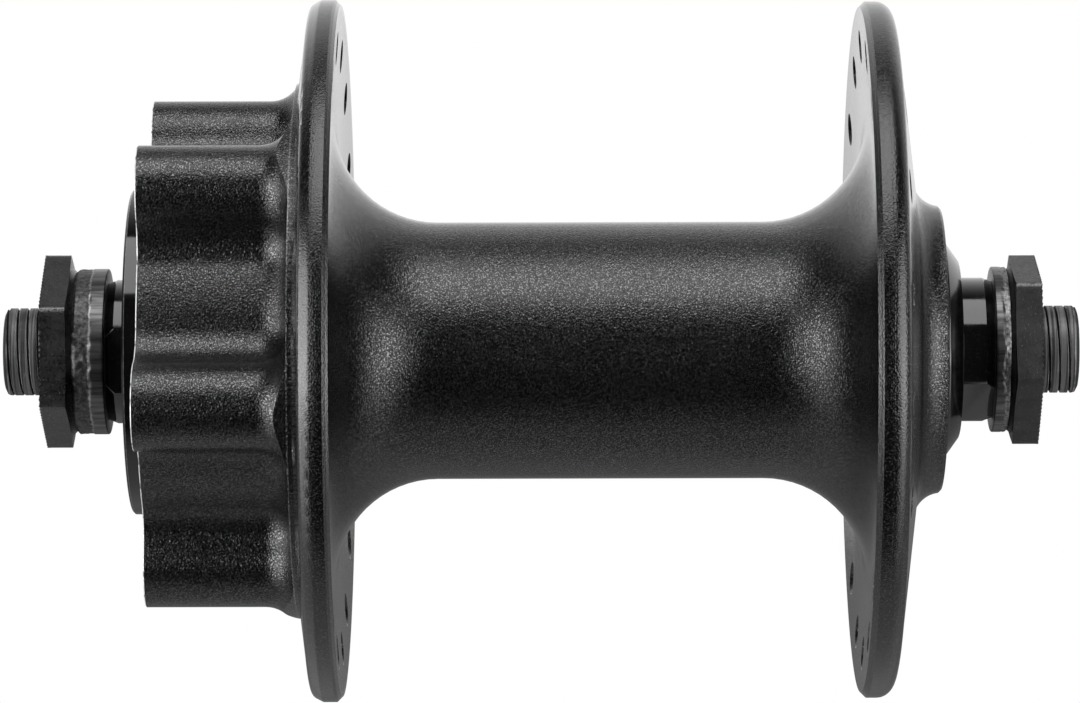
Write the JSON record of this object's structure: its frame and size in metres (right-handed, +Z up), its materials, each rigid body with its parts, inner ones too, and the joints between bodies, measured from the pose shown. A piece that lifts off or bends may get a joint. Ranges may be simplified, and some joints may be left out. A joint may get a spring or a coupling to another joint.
{
  "type": "bicycle front hub",
  "caption": "Bicycle front hub for a disc brake: aluminium shell with two spoke flanges and a lobed rotor boss, turning on loose balls about a hollow threaded axle.",
  "frame": {"origin": "on the axle's centre line, midway between the outer faces of the two lock nuts", "axes": "+Y along the axle towards the disc side, +Z up, +X forward on the bicycle"},
  "size_m": [0.0708, 0.108, 0.0708],
  "materials": {
    "anodised_shell": "black anodised, bead-blasted satin",
    "axle_steel": "dark oiled threads",
    "black_oxide": "black oxide, dull",
    "washer_steel": "stamped, grey",
    "cone_steel": "polished black",
    "cover_black": "gloss black",
    "seal_rubber": "matte",
    "bearing_steel": "ground",
    "ball_steel": "polished",
    "cap_steel": "satin black"
  },
  "bodies": {
    "axle_assembly": {"axle": "axle_steel", "left_lock_nut": "black_oxide", "right_lock_nut": "black_oxide", "left_washer": "washer_steel", "right_washer": "washer_steel", "left_cone": "cone_steel", "right_cone": "cone_steel", "left_cone_cover": "cover_black", "right_cone_cover": "cover_black", "left_seal_ring": "seal_rubber", "right_seal_ring": "seal_rubber"},
    "shell": {"hub_shell": "anodised_shell", "left_cup": "bearing_steel", "right_cup": "bearing_steel", "left_shell_cap": "cap_steel", "right_shell_cap": "cap_steel"},
    "left_balls": {"left_ball_set": "ball_steel"},
    "right_balls": {"right_ball_set": "ball_steel"}
  },
  "joints": [
    {"name": "hub_spin", "type": "hinge", "parent": "axle_assembly", "child": "shell", "pos_m": [0, 0, 0], "axis": [0, 1, 0], "continuous": true},
    {"name": "left_ball_orbit", "type": "hinge", "parent": "axle_assembly", "child": "left_balls", "pos_m": [0, 0.03365, 0], "axis": [0, 1, 0], "continuous": true},
    {"name": "right_ball_orbit", "type": "hinge", "parent": "axle_assembly", "child": "right_balls", "pos_m": [0, -0.0354, 0], "axis": [0, 1, 0], "continuous": true}
  ],
  "couplings": [
    {"joint": "left_ball_orbit", "follows": "hub_spin", "ratio": 0.5946},
    {"joint": "right_ball_orbit", "follows": "hub_spin", "ratio": 0.5946}
  ]
}
